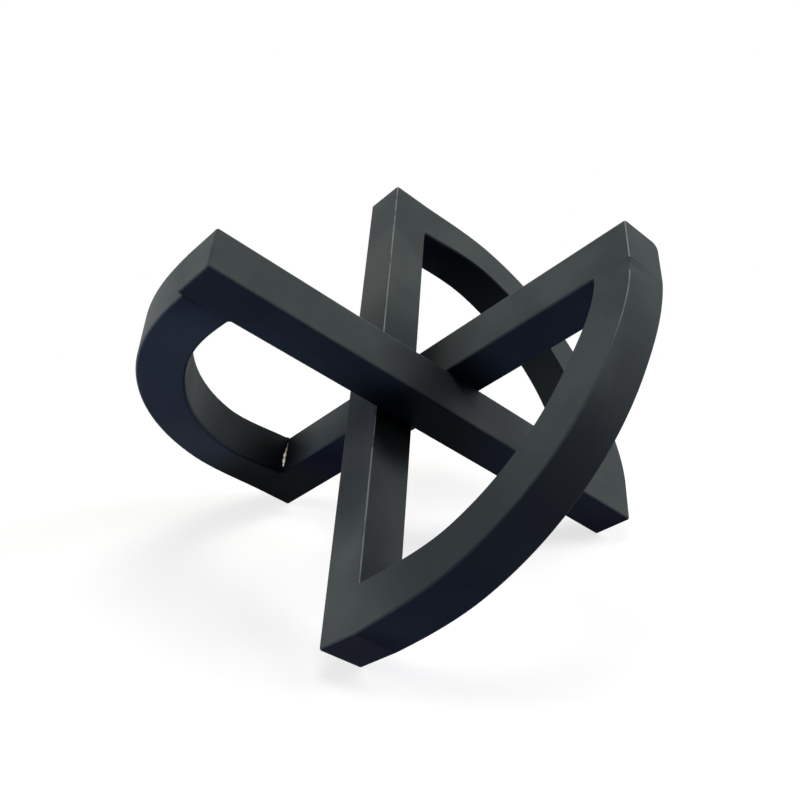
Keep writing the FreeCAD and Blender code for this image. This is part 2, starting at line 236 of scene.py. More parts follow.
def make_world():
    """White when seen; for lighting only a faint even grey, because the lamps do the work."""
    world = bpy.data.worlds.new("studio")
    bpy.context.scene.world = world
    world.use_nodes = True
    tree = world.node_tree
    tree.nodes.clear()
    light = add_node(tree, "ShaderNodeBackground", {"Color": WHITE, "Strength": SKY_LIGHT})
    white = add_node(tree, "ShaderNodeBackground", {"Color": WHITE, "Strength": 1.0})
    mix = add_node(
        tree, "ShaderNodeMixShader", {0: seen_directly(tree), 1: light.outputs[0], 2: white.outputs[0]}
    )
    add_node(tree, "ShaderNodeOutputWorld", {"Surface": mix.outputs[0]})
    return world


world = make_world()
print(world.name, "lights with a strength of", SKY_LIGHT)

# %% [markdown]
# ## Lamps
#
# Four softboxes stand at one distance from the knot. The one overhead and the one on the right
# light the upper sides. The low one on the left is a little warm and lights the faces at the left
# end. The weakest one stands low between it and the front. It is blue and reaches the undersides,
# which are navy in the picture. The powers were found by lighting the knot with one lamp at a time
# and asking which mixture of these pictures comes nearest to the photograph.

# %% Lamps
LAMP_DISTANCE = 0.85
LAMP_SIDE = 0.40
LAMPS = [
    # name, degrees round from the front to the right, degrees up, power in watts, colour
    ("softbox_overhead", 0, 90, 3.3, "#fffff6"),
    ("softbox_right", 90, 35, 6.4, "#fbf9fc"),
    ("softbox_left_low", 270, 10, 6.4, "#fff7ea"),
    ("softbox_front_left_low", 315, 10, 2.5, "#b9cbff"),
]


def add_softbox(name, azimuth, elevation, power, colour):
    """A square area lamp that faces the middle of the knot from the given direction."""
    around = math.radians(azimuth)
    up = math.radians(elevation)
    away = Vector((math.cos(up) * math.sin(around), -math.cos(up) * math.cos(around), math.sin(up)))
    data = bpy.data.lights.new(name, "AREA")
    data.shape = "SQUARE"
    data.size = LAMP_SIDE
    data.energy = power
    data.color = linear(colour)[:3]
    lamp = bpy.data.objects.new(name, data)
    lamp.location = Vector((0, 0, CAD_BOX[1][2] / 2)) + LAMP_DISTANCE * away
    lamp.rotation_mode = "QUATERNION"
    lamp.rotation_quaternion = (-away).to_track_quat("-Z", "Y")
    bpy.context.scene.collection.objects.link(lamp)
    return lamp


for settings in LAMPS:
    lamp = add_softbox(*settings)
    print(lamp.name, "stands at", [round(value, 3) for value in lamp.location])

# %% [markdown]
# ## The knot's frame
#
# The three straight tubes lie along the axes a, b and c of a cube that stands on one corner. The
# knot is the same after a third of a turn, which swaps its axes: (a, b, c) becomes (-c, -a, b). So
# every piece is worked out once, in the frame of its own side, and turned into place. In a side's
# frame the straight tube fills b from -w to 0 and c from 0 to w, and its foot is at the far end of a.
# The pieces could be made upright and turned as objects, but their places belong in their meshes.

# %% Sizes and axes
MM = 0.001
# The tube's width, half its length, a cap's thickness, and the radii of a tube's long edge, of a
# cap's rim and of an edge that is left sharp.
WIDTH = 15.0 * MM
REACH = 87.5 * MM
CAP = 1.5 * MM
EDGE = 0.9 * MM
RIM = 0.8 * MM
SHARP = 0.02 * MM
# The directions of a, b and c in the part's own frame, whose third number is the height.
AXES = np.array([
    (1 / math.sqrt(2), 1 / math.sqrt(6), -1 / math.sqrt(3)),
    (0, 2 / math.sqrt(6), 1 / math.sqrt(3)),
    (1 / math.sqrt(2), -1 / math.sqrt(6), 1 / math.sqrt(3)),
])
# The knot stands lower than on sharp corners, because the corners that it rests on are rounded.
LIFT = (RIM + 2 * EDGE) / math.sqrt(3) - (EDGE - RIM) * math.sqrt(2 / 3) - RIM
MIDDLE = (REACH + WIDTH) / math.sqrt(3) - LIFT

# A side is named for where its foot is. From the foot its straight tube rises through the middle to
# the place in BAR_TOP, and its curved tube goes round to the one in BEND_TOP.
SIDES = ["right", "front", "left"]
BAR_TOP = ["left", "back", "right"]
BEND_TOP = ["back", "right", "left"]


def to_part(points, side):
    """From a side's frame to the part's: turn number side, then the cube's axes, then the height."""
    for _ in range(side):
        points = np.stack([-points[..., 2], -points[..., 0], points[..., 1]], axis=-1)
    return points @ AXES + np.array([0.0, 0.0, MIDDLE])


def unit(vectors):
    """Vectors of length one along the last axis."""
    return vectors / np.linalg.norm(vectors, axis=-1, keepdims=True)


def smooth_step(values):
    """0 below 0, 1 above 1, and 3 x^2 - 2 x^3 between them."""
    x = np.clip(values, 0.0, 1.0)
    return x * x * (3 - 2 * x)


print("the knot's middle stands", round(MIDDLE / MM, 2), "mm above the floor")

# %% [markdown]
# ## The tones of the paint, and painted light and shade
#
# The real knot has one coat of satin black enamel, sprayed over the welded steel. Its tone changes a
# little at random. Shade is painted into it as a deeper tone: in the middle of the knot, inside the
# curved tubes and on the undersides, and darkest round the joint at the left foot, where the bead is
# bare. One place on the left curved tube has painted light, as a paler tone.
# The tones could be painted on an image, but a short table of places is easier to read and change,
# and each place is given in the frame of its side, as the pieces are.

# %% Tones, and the places of painted light and shade
PAINT = "#464b4a"
PAINT_DEEP = "#3d4242"
# The colours below stand in for light and shade: the darker ones are painted shade, the darkest also
# colours open seams, and the last one is painted light.
PAINTED_SHADE = "#2f3436"
PAINTED_SHADE_AND_SEAM_BLACK = "#0c0f11"
PAINTED_UNDERSIDE_SHADE = "#121a2b"
PAINTED_SHADE_INSIDE = "#1a2023"
PAINTED_LIGHT = "#515857"


def place_at(a, b, c, side):
    """A place in the part's frame from its millimetres in a side's frame."""
    return tuple(to_part(np.array([a, b, c]) * MM, side).tolist())


# Where shade is painted in as a deeper tone, or in one row light as a paler one: the place, how far it
# is full and gone in millimetres, the direction that the faces look in with the normal's share from
# which and up to which it sets in, and the colour. A later row covers the ones before it.
PAINTED_LIGHT_AND_SHADE_PLACES = [
    # painted shade in the middle of the knot
    (place_at(0.0, 0.0, -8.0, 0), 17.0, 46.0, None, PAINTED_SHADE),
    # painted shade on the right curved tube: its upper side near the foot, and its outer side halfway
    (place_at(71.5, 33.0, 10.8, 1), 9.0, 44.0, ("Z", 0.1, 0.4), PAINTED_SHADE),
    (place_at(60.0, 60.0, 0.0, 1), 8.0, 30.0, ("Z", 0.45, 0.25), PAINTED_SHADE),
    # painted shade inside the back curved tube, and painted light on the front side of the left one
    (place_at(52.4, 52.4, 0.0, 0), 38.0, 60.0, ("Y", -0.5, -0.62), PAINTED_SHADE_INSIDE),
    (place_at(56.0, 56.0, -7.5, 2), 45.0, 66.0, ("Y", -0.4, -0.6), PAINTED_LIGHT),
    # painted shade on the underside of the left straight tube and inside the left curved tube
    (place_at(7.5, 0.0, -62.0, 0), 12.0, 34.0, ("Z", -0.1, -0.5), PAINTED_UNDERSIDE_SHADE),
    (place_at(-62.5, -2.3, -35.0, 0), 8.0, 22.0, ("X", 0.3, 0.6), PAINTED_SHADE),
    # painted shade on the left side of the front straight tube and on its end cap
    (place_at(-15.0, -41.0, -7.5, 0), 4.0, 21.0, ("X", -0.3, -0.6), PAINTED_SHADE),
    (place_at(-7.5, -87.5, -7.5, 0), 6.0, 18.0, ("Z", -0.1, -0.5), PAINTED_UNDERSIDE_SHADE),
    # painted shadow under the crossings, and on the front straight tube just below them
    (place_at(0.0, 0.0, 0.0, 0), 12.0, 38.0, ("Z", 0.1, -0.3), PAINTED_SHADE_AND_SEAM_BLACK),
    (place_at(-7.5, -18.0, 0.0, 0), 7.0, 19.0, ("X", -0.5, -0.1), PAINTED_SHADE_AND_SEAM_BLACK),
    # painted shade round the bare joint at the left foot
    (place_at(82.5, 0.0, 3.75, 2), 11.0, 34.0, None, PAINTED_SHADE_AND_SEAM_BLACK),
]

HEIGHTS = [place[2] / MM for place, *_ in PAINTED_LIGHT_AND_SHADE_PLACES]
print(len(HEIGHTS), "toned places", round(min(HEIGHTS)), "to", round(max(HEIGHTS)), "mm above the floor")

# %% [markdown]
# ## Masks and coats
#
# A mask is a value from 0 to 1 that tells where a colour shows. It could be painted by hand. Here it
# is a product of smooth steps of what the shader knows: a noise, a height, a distance, or how far a
# face looks up. Colours are then laid one over the other, each where its mask is 1, as coats lie on
# the real thing. Noise and distance read object coordinates, which are the same for all pieces,
# because each has its place in its mesh, and so a pattern runs on over a joint.

# %% Helpers for masks and coats
def object_noise(tree, size_mm, detail, stretch=(1, 1, 1)):
    """A noise of about this size in millimetres, in the object's own coordinates."""
    place = add_node(tree, "ShaderNodeTexCoord")
    scale = tuple(factor / (size_mm * MM) for factor in stretch)
    grown = add_node(
        tree, "ShaderNodeVectorMath", {0: place.outputs["Object"], 1: scale}, operation="MULTIPLY"
    )
    noise = add_node(
        tree, "ShaderNodeTexNoise", {"Vector": grown.outputs[0], "Scale": 1.0, "Detail": detail}
    )
    return noise.outputs["Fac"]


def distance_to(tree, centre):
    """How far a point of the object is from a place."""
    place = add_node(tree, "ShaderNodeTexCoord")
    return add_node(
        tree, "ShaderNodeVectorMath", {0: place.outputs["Object"], 1: centre}, operation="DISTANCE"
    ).outputs["Value"]


def mask(tree, steps, full=1.0):
    """full times a smooth step for each value, which goes from 0 at its start to 1 at its end.

    A start may be larger than its end, and then the step falls as the value grows.
    """
    share = full
    for value, start, end in steps:
        step = add_node(
            tree, "ShaderNodeMapRange", {"Value": value, "From Min": start, "From Max": end},
            interpolation_type="SMOOTHSTEP",
        )
        product = add_node(tree, "ShaderNodeMath", {0: share, 1: step.outputs[0]}, operation="MULTIPLY")
        share = product.outputs[0]
    return share


def lay_coats(tree, ground, coats):
    """Colours over a ground: each hides what lies below it as far as its mask says."""
    colour = linear(ground)
    for share, coat in coats:
        colour = add_node(
            tree, "ShaderNodeMix", {0: share, 6: colour, 7: linear(coat)}, data_type="RGBA"
        ).outputs[2]
    return colour


print("halfway along a smooth step a mask is", float(smooth_step(0.5)))

# %% [markdown]
# ## Tone, dust, wear and painted light
#
# Up close the coat has slow cloudy changes in tone, painted shade on the faces that look down low near
# the floor, and a little pale dust on top. It is lighter along the outer edges that look up, partly by
# wear and partly as a painted highlight that gives the thin bright lines, and an open seam is dark.
# Edges could be found with the Bevel node or with Pointiness, but one is slow and the other goes by the
# mesh. The new pieces carry an attribute instead: 1 on the middle of a rounded edge, 0 on flats, and
# below zero in an open seam.

# %% Colour of the coat
EDGE_WEAR_AND_HIGHLIGHT = "#8b8d8b"
DUST = "#6d716f"
# The size of each noise, and the two noise values between which its effect sets in.
CLOUD_MM = 22.0
CLOUD_TONES = (0.35, 0.65)
DUST_MM = 0.5
DUST_SPECKS = (0.74, 0.80)
RAGGED_MM = 4.0
RAGGED_WEAR_AND_HIGHLIGHT = (0.22, 0.55)
# The share of the normal that points up, between which dust settles, edges turn lighter by wear and
# painted highlight, and painted shade sets in on faces that look down.
DUST_SETTLES = (0.1, 0.6)
WEAR_AND_HIGHLIGHT_UPWARD = (0.66, 0.80)
UNDERSIDE_SHADE_DOWNWARD = (-0.1, -0.5)
UNDERSIDE_SHADE_HEIGHT = 18.0 * MM
DUST_COVER = 0.5
# The attribute's values between which an edge turns lighter, by wear and painted highlight, and an open
# seam turns dark.
EDGE_WEAR_AND_HIGHLIGHT_SPAN = (0.25, 0.8)
SEAM_DARKENS = (0.0, -0.6)


def coat_colour(tree, clouds, wear_and_highlight):
    """Tones, painted shade and light, then dust, seams, and edges lighter by wear and painted highlight.
    """
    facing = add_node(tree, "ShaderNodeNewGeometry")
    looks = add_node(tree, "ShaderNodeSeparateXYZ", {0: facing.outputs["Normal"]}).outputs
    place = add_node(tree, "ShaderNodeTexCoord")
    height = add_node(tree, "ShaderNodeSeparateXYZ", {0: place.outputs["Object"]}).outputs["Z"]
    edge = add_node(tree, "ShaderNodeAttribute", attribute_name="edge").outputs["Fac"]
    dust = object_noise(tree, DUST_MM, 1.0)
    ragged = object_noise(tree, RAGGED_MM, 4.0)
    low = (height, UNDERSIDE_SHADE_HEIGHT, 0.0)
    coats = [
        (mask(tree, [(clouds, *CLOUD_TONES)]), PAINT),
        # painted shade on faces that look down, low near the floor
        (mask(tree, [low, (looks["Z"], *UNDERSIDE_SHADE_DOWNWARD)]), PAINTED_UNDERSIDE_SHADE),
    ]
    for centre, full, gone, direction, colour in PAINTED_LIGHT_AND_SHADE_PLACES:
        steps = [(distance_to(tree, centre), gone * MM, full * MM)]
        if direction:
            axis, start, end = direction
            steps.append((looks[axis], start, end))
        coats.append((mask(tree, steps), colour))
    # the outer edges that look up turn lighter, partly by wear and partly as a painted highlight
    edge_wear_and_highlight = [(edge, *EDGE_WEAR_AND_HIGHLIGHT_SPAN), (ragged, *RAGGED_WEAR_AND_HIGHLIGHT), (looks["Z"], *WEAR_AND_HIGHLIGHT_UPWARD)]
    coats += [
        (mask(tree, [(dust, *DUST_SPECKS), (looks["Z"], *DUST_SETTLES)], DUST_COVER), DUST),
        (mask(tree, [(edge, *SEAM_DARKENS)]), PAINTED_SHADE_AND_SEAM_BLACK),
        (mask(tree, edge_wear_and_highlight, wear_and_highlight), EDGE_WEAR_AND_HIGHLIGHT),
    ]
    return lay_coats(tree, PAINT_DEEP, coats)


print("the coat's clouds are", CLOUD_MM, "mm across and its dust specks", DUST_MM, "mm")

# %% [markdown]
# ## Orange peel
#
# Sprayed enamel dries with an orange peel of about half a millimetre across, which breaks up its
# reflections. On top of it lies a grain that makes it satin. The real grain is far too fine to show,
# so it is drawn as coarse as 0.12 mm. Both could be cut into the mesh, but they are only hundredths
# of a millimetre deep, so a bump is enough.

# %% Surface of the coat
PEEL_MM = 0.55
GRAIN_MM = 0.12
PEEL_DEPTH = 0.03 * MM
GRAIN_DEPTH = 0.02 * MM
GRAIN_SHARE = 0.2


def orange_peel(tree, peel):
    """Two bumps, one on the other: the peel's waves, and a grain with a fifth of their strength."""
    waves = add_node(
        tree, "ShaderNodeBump",
        {"Height": object_noise(tree, PEEL_MM, 1.0), "Strength": peel, "Distance": PEEL_DEPTH},
    )
    grain = add_node(
        tree, "ShaderNodeBump",
        {"Height": object_noise(tree, GRAIN_MM, 1.0), "Strength": GRAIN_SHARE * peel,
         "Distance": GRAIN_DEPTH, "Normal": waves.outputs[0]},
    )
    return grain.outputs[0]


print("a peel of", PEEL_MM, "mm takes", round(WIDTH / MM / PEEL_MM), "waves across a tube")

# %% [markdown]
# ## Satin black enamel
#
# Satin enamel has an IOR of about 1.5, which is the shader's default, and a roughness of about 0.5,
# which changes a little with the clouds. Its sheen is turned far down to match the picture, where the
# faces that would mirror the white ground stay dark. One material could serve all pieces, but the steel
# below shows in the coat, so each kind of piece has its own peel and its own share of lighter edges,
# which are partly wear and partly a painted highlight.

# %% Painted materials
ROUGHNESS_CLOUDS = {"From Min": 0.3, "From Max": 0.7, "To Min": 0.44, "To Max": 0.56}
SPECULAR_LEVEL = 0.016


def satin_black_paint(name, wear_and_highlight, peel):
    """Satin black enamel: upper edges lighter by wear and painted highlight, and a peel, each as given.
    """
    material = bpy.data.materials.new(name)
    material.use_nodes = True
    tree = material.node_tree
    shader = tree.nodes["Principled BSDF"]
    clouds = object_noise(tree, CLOUD_MM, 3.0)
    gloss = add_node(tree, "ShaderNodeMapRange", {"Value": clouds, **ROUGHNESS_CLOUDS})
    tree.links.new(coat_colour(tree, clouds, wear_and_highlight), shader.inputs["Base Color"])
    tree.links.new(gloss.outputs[0], shader.inputs["Roughness"])
    shader.inputs["Specular IOR Level"].default_value = SPECULAR_LEVEL
    tree.links.new(orange_peel(tree, peel), shader.inputs["Normal"])
    return material


# Drawn tube is smooth and even under its coat, and its upper edges are lighter, partly by wear and
# partly as a painted highlight.
TUBE_PAINT = satin_black_paint("satin_black_on_straight_tube", wear_and_highlight=0.75, peel=0.5)
# Rolling leaves the steel a little rougher, so the reflections are more broken.
ROLLED_PAINT = satin_black_paint("satin_black_on_rolled_tube", wear_and_highlight=0.75, peel=0.6)
# A plate is cut and its rim ground, and a ground rim is where the coat goes first; its lighter rim is
# partly a painted highlight.
CAP_PAINT = satin_black_paint("satin_black_on_ground_cap", wear_and_highlight=0.8, peel=0.5)
# Weld metal is rippled and lies in corners: uneven to the eye, never worn, and without a painted
# highlight.
BEAD_PAINT = satin_black_paint("satin_black_on_weld_bead", wear_and_highlight=0.0, peel=0.9)
for material in (TUBE_PAINT, ROLLED_PAINT, CAP_PAINT, BEAD_PAINT):
    print(material.name, "has", len(material.node_tree.nodes), "nodes")

# %% [markdown]
# ## Bare weld steel
#
# At the left foot the coat has flaked off the bead. Bare weld steel is pale and dull, with a straw
# tint from the heat, and has dark pits where scale and paint are left. It could be a bright metal,
# but under its thin scale it hardly mirrors anything, so it is only a quarter metallic. It keeps a
# metal's default IOR. The flakes are drawn out upwards, as the bead runs when seen from the front.

# %% Bare weld steel
STEEL_DARK = "#a89f86"
STEEL_LIGHT = "#e9e3d2"
STEEL_PITS = "#3a3830"
FLAKE_MM = 2.2
FLAKE_STRETCH = (1, 1, 0.5)
PITTED = (0.44, 0.36)
TINT_MM = 0.6
RIPPLE_MM = 0.7
RIPPLE_STRENGTH = 0.6
RIPPLE_DEPTH = 0.1 * MM
BARE_ROUGHNESS = 0.42
BARE_METALLIC = 0.25


def bare_weld_steel(name):
    """Bare steel from dark straw to light by one noise, with pits where another noise is low."""
    material = bpy.data.materials.new(name)
    material.use_nodes = True
    tree = material.node_tree
    shader = tree.nodes["Principled BSDF"]
    tint = object_noise(tree, TINT_MM, 3.0)
    pits = mask(tree, [(object_noise(tree, FLAKE_MM, 4.0, FLAKE_STRETCH), *PITTED)])
    colour = lay_coats(tree, STEEL_DARK, [(tint, STEEL_LIGHT), (pits, STEEL_PITS)])
    tree.links.new(colour, shader.inputs["Base Color"])
    shader.inputs["Roughness"].default_value = BARE_ROUGHNESS
    shader.inputs["Metallic"].default_value = BARE_METALLIC
    height = object_noise(tree, RIPPLE_MM, 3.0)
    ripples = add_node(
        tree, "ShaderNodeBump",
        {"Height": height, "Strength": RIPPLE_STRENGTH, "Distance": RIPPLE_DEPTH},
    )
    tree.links.new(ripples.outputs[0], shader.inputs["Normal"])
    return material


BARE_BEAD = bare_weld_steel("bare_weld_steel")
print(BARE_BEAD.name, "has", len(BARE_BEAD.node_tree.nodes), "nodes")

# %% [markdown]
# ## A square section carried along a path
#
# Square tube is drawn with rounded long edges. A cube with a Bevel modifier would do for a straight
# one, but not for a bend whose edges run out where two tubes are ground flush. So tubes and caps are
# all one kind of surface: each station of the path gives the four sharp corners of the section, and
# each corner has a radius of its own. The surface's normals are worked out too, from the direction
# along the path and the direction round the section, so flat faces stay flat and rounded edges
# stay smooth.

# %% The surface function
ARC_ANGLES = np.radians(np.linspace(0, 90, 7))
FLAT_SHARES = np.array([0.05, 0.15, 0.5, 0.85, 0.95])


def loft(corners, radii, dent=0.0):
    """Rings of points, their normals, and how near each is to the middle of a rounded edge.

    corners is (stations, 4, 3) and radii is (stations, 4). With p and n the directions to the
    corners before and after, an edge is P = corner + p r (1 - sin u) + n r (1 - cos u) for u from
    0 to 90 degrees, and its direction round the section is n sin u - p cos u. The flats run
    straight between the edges. A dent shifts points before the normals are worked out. The normal
    is the cross product of the directions along the path and round the section.
    """
    before = unit(np.roll(corners, 1, axis=1) - corners)
    after = unit(np.roll(corners, -1, axis=1) - corners)
    r = radii[..., None]
    points = []
    rounds = []
    for k in range(4):
        p, n = before[:, k, None], after[:, k, None]
        sine, cosine = np.sin(ARC_ANGLES)[:, None], np.cos(ARC_ANGLES)[:, None]
        corner, radius = corners[:, k, None], r[:, k, None]
        points.append(corner + p * radius * (1 - sine) + n * radius * (1 - cosine))
        rounds.append(unit(n * sine - p * cosine))
        following = (k + 1) % 4
        start = corners[:, k] + after[:, k] * r[:, k]
        end = corners[:, following] + before[:, following] * r[:, following]
        share = FLAT_SHARES[:, None]
        points.append(start[:, None] * (1 - share) + end[:, None] * share)
        rounds.append(np.repeat(unit(end - start)[:, None], len(FLAT_SHARES), axis=1))
    rings = np.concatenate(points, axis=1) + dent
    around = np.concatenate(rounds, axis=1)
    normals = unit(np.cross(np.gradient(rings, axis=0), around))
    across = unit(corners[:, 1] - corners[:, 0])
    deep = unit(corners[:, 2] - corners[:, 1])
    box = np.stack([across, deep, np.cross(across, deep)], axis=1)
    squareness = np.abs(np.einsum("sij,spj->spi", box, normals)).max(axis=2)
    edge = np.clip((1 - squareness) / (1 - math.sqrt(0.5)), 0, 1)
    return rings, normals, edge


print("a section has", 4 * (len(ARC_ANGLES) + len(FLAT_SHARES)), "points")

# %% [markdown]
# ## From rings to an object
#
# The rings become a mesh of quads with a flat face at each end, as a sawn or ground end has. Blender
# could average the normals itself, but that would shade the flats as if they were bulged, so the exact
# ones are handed over. The mesh also gets the edge attribute that the paint reads, a map with the real
# distance round and along, and its material. Two calls then say what the piece moves with and hide the
# solid of the CAD model that it stands for.

# %% One object from its rings
def area_direction(ring):
    """The direction that a flat ring of points faces: the sum of P_j x P_(j+1), made length one."""
    spokes = ring - ring.mean(0)
    return unit(np.cross(spokes, np.roll(spokes, -1, axis=0)).sum(0))


def add_piece(name, rings, normals, edge, material, replaced):
    """One closed object: a grid of quads round and along the rings, and a flat face at each end."""
    stations, count = rings.shape[:2]
    index = np.arange(stations * count).reshape(stations, count)
    turned = np.roll(index, -1, axis=1)
    quads = np.stack([index[:-1], index[1:], turned[1:], turned[:-1]], axis=-1).reshape(-1, 4)
    faces = quads.tolist() + [index[0].tolist(), index[-1, ::-1].tolist()]
    mesh = bpy.data.meshes.new(name)
    mesh.from_pydata(rings.reshape(-1, 3).tolist(), [], faces)
    mesh.shade_smooth()
    first = np.repeat(area_direction(rings[0])[None], count, axis=0)
    last = np.repeat(area_direction(rings[-1, ::-1])[None], count, axis=0)
    corner_normals = np.concatenate([normals.reshape(-1, 3)[quads.ravel()], first, last])
    mesh.normals_split_custom_set(corner_normals.tolist())
    edge_wear_and_highlight = mesh.attributes.new("edge", "FLOAT", "POINT")
    edge_wear_and_highlight.data.foreach_set("value", edge.ravel().astype(np.float32))
    along = np.concatenate([[0.0], np.cumsum(np.linalg.norm(np.diff(rings[:, 0], axis=0), axis=1))])
    round_it = np.concatenate([[0.0], np.cumsum(np.linalg.norm(np.diff(rings[0], axis=0), axis=1))])
    flat = np.stack(np.broadcast_arrays(round_it[None], along[:, None]), axis=-1).reshape(-1, 2)
    ends = np.concatenate([index[0], index[-1, ::-1]])
    layer = mesh.uv_layers.new(name="surface")
    layer.data.foreach_set("uv", flat[np.concatenate([quads.ravel(), ends])].astype(np.float32).ravel())
    mesh.materials.append(material)
    piece = bpy.data.objects.new(name, mesh)
    bpy.context.scene.collection.objects.link(piece)
    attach(piece, "root")
    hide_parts(replaced)
    return piece


SQUARE = np.array([(0, 0, 0), (1, 0, 0), (1, 1, 0), (0, 1, 0)], dtype=float)
print("a square drawn anticlockwise faces", area_direction(SQUARE).tolist())

# %% [markdown]
# ## The bend of a curved tube
#
# A curved tube is rolled. Its middle line is a circle in a plane that is tilted just enough for the
# tube to rise by its own width from end to end. Its foot lands on the side b = 0 of its own straight
# tube, and its top on the side a = 0 of the next one. A curve object with a square profile could
# follow it, but would end in a straight cut, so each of the four corner lines is worked out and ends
# where it lands. Over the last 30 millimetres the side and outer faces are drawn into the planes of
# the straight tubes, as if they were ground flush after welding.

# %% The corner lines of a bend
# For each side's curved tube: radius, offset outwards, slip to the foot, depth across the bend.
BENDS = MM * np.array([(76.8, 4.5, 0.0, 14.4), (88.1, -9.9, -0.4, 13.7), (75.2, 5.3, 0.6, 15.4)])
DRAW_IN = 30.0 * MM
# Where the outer face stops short by a step, the side face does so by this share of it.
STEP_BACK = 0.25
ACROSS_SIGNS = np.array([-1.0, 1.0, 1.0, -1.0])
DEPTH_SIGNS = np.array([1.0, 1.0, -1.0, -1.0])
# Stations along the bend, as shares of its length: close together in the end tenths.
END_TENTH = 0.10
END_SHARES = END_TENTH * np.linspace(0, 1, 22) ** 1.6
MIDDLE_SHARES = np.linspace(END_TENTH, 1 - END_TENTH, 62)[1:-1]
BEND_SHARES = np.concatenate([END_SHARES, MIDDLE_SHARES, (1 - END_SHARES)[::-1]])


def drawn(values, flush, end, near):
    """The shift that brings a line level with a face at its end, without a bend that shows.

    With n falling from 1 at the end to 0 where the shift stops, and d how far the end is off, it is
    -(v - flush - d) n^2 - d (3 n^2 - 2 n^3).
    """
    off = values[end] - flush
    return -(values - flush - off) * near ** 2 - off * smooth_step(near)


def bend_corners(side, step=0.0):
    """The four corner lines of a curved tube, from its foot to its top, in its side's frame.

    With t the tilt, M outwards, e towards the foot and s the side, a corner line of radius r is
    P = (offset + r cos u) M + (slip + r sin u) e + s n. It starts where b is 0 and ends where a is
    0, which both have the form r q cos(u -+ v) = constant, with q^2 = 1 + cos^2 t. The tilt is the
    one that takes the middle of the outer face, without the slip, from c = w / 2 at the foot to
    c = -w / 2 at the top. For that, w / tan t is the offset plus the root of
    2 (R^2 - w^2 / 4) - offset^2, where R is the radius of the outer face.
    """
    radius, offset, slip, depth = BENDS[side]
    outer = radius + depth / 2
    root = math.sqrt(2 * (outer ** 2 - (WIDTH / 2) ** 2) - offset ** 2)
    tilt = math.atan(WIDTH / (offset + root))
    outwards = np.array([1.0, 1.0, 0.0]) / math.sqrt(2)
    level = np.array([1.0, -1.0, 0.0]) / math.sqrt(2)
    rise = np.array([0.0, 0.0, 1.0])
    footwards = math.cos(tilt) * level + math.sin(tilt) * rise
    sideways = math.cos(tilt) * rise - math.sin(tilt) * level
    r = radius + DEPTH_SIGNS * depth / 2
    s = ACROSS_SIGNS * WIDTH / 2
    shrink = r * math.sqrt(1 + math.cos(tilt) ** 2)
    lean = math.atan(math.cos(tilt))
    foot = np.arccos((-offset + slip * math.cos(tilt) - s * math.sin(tilt)) / shrink) - lean
    top = lean - np.arccos((-offset - slip * math.cos(tilt) + s * math.sin(tilt)) / shrink)
    u = foot + BEND_SHARES[:, None] * (top - foot)
    corners = (
        (offset + r * np.cos(u))[..., None] * outwards + (slip + r * np.sin(u))[..., None] * footwards
        + s[None, :, None] * sideways
    )
    near_foot = np.clip(1 - corners[..., 1] / DRAW_IN, 0, 1)
    near_top = np.clip(1 - corners[..., 0] / DRAW_IN, 0, 1)
    top_reach = np.where(ACROSS_SIGNS > 0, REACH, REACH - step)
    plus = ACROSS_SIGNS > 0
    out = DEPTH_SIGNS > 0
    flush_foot = np.where(plus, WIDTH, 0.0)
    flush_top = np.where(plus, 0.0, STEP_BACK * step - WIDTH)
    a, b, c = corners[..., 0].copy(), corners[..., 1].copy(), corners[..., 2].copy()
    corners[..., 2] = c + drawn(c, flush_foot, 0, near_foot) + drawn(c, flush_top, -1, near_top)
    corners[..., 0] = a + np.where(out, REACH - a[0], 0.0) * near_foot ** 2
    corners[..., 1] = b + np.where(out, top_reach - b[-1], 0.0) * near_top ** 2
    return corners


for side in range(3):
    middle_line = bend_corners(side).mean(axis=1)
    length = np.linalg.norm(np.diff(middle_line, axis=0), axis=1).sum()
    print("curved_tube_" + BEND_TOP[side], "is", round(length / MM, 1), "mm long in its middle")

# %% [markdown]
# ## Step, seam and dimple
#
# At the left top the bend stops short of the straight tube's face by a small step, with an open seam
# beside it, and there is a small dimple in the upper outer edge at the right top, as the picture
# shows. They could be sculpted by hand. As formulas they stay where they are when a size changes.

# %% Step, seam and dimple
LEFT_TOP_STEP = 1.9 * MM
STEP_EDGE = 0.15 * MM
SEAM_WIDTH = 1.3 * MM
SEAM_DEPTH = 0.5 * MM
SEAM_FLATS = np.clip(1.5 * FLAT_SHARES - 0.5, 0, 1)
DIMPLE_DEPTH = 0.45 * MM
DIMPLE_PLACE = 2.2 * MM
DIMPLE_HALF = 1.7 * MM
DIMPLE_WAY = np.array([0.0, -1.0, -0.6])


def open_seam(corners):
    """How open the seam at a curved tube's top is: 1 at its end and 0 from the seam's width on."""
    return 1 - smooth_step(corners[:, 0, 0] / SEAM_WIDTH)


def dimple_shift(corners, side):
    """A dimple in the upper outer edge, with the depth D exp(-(a - place)^2 / half^2).

    It is gone halfway across the faces beside the edge, and goes inwards from both of them.
    """
    fade = np.zeros((4, len(ARC_ANGLES) + len(FLAT_SHARES)))
    fade[0, len(ARC_ANGLES):] = FLAT_SHARES ** 3
    fade[1, :len(ARC_ANGLES)] = 1
    fade[1, len(ARC_ANGLES):] = (1 - FLAT_SHARES) ** 3
    deep = DIMPLE_DEPTH * np.exp(-((corners[:, 1, 0] - DIMPLE_PLACE) / DIMPLE_HALF) ** 2)
    inwards = to_part(DIMPLE_WAY, side) - to_part(np.zeros(3), side)
    return deep[:, None, None] * fade.ravel()[None, :, None] * inwards


print("the step is", round(LEFT_TOP_STEP / MM, 2), "mm long")
print("the dimple is", round(DIMPLE_DEPTH / MM, 2), "mm deep")

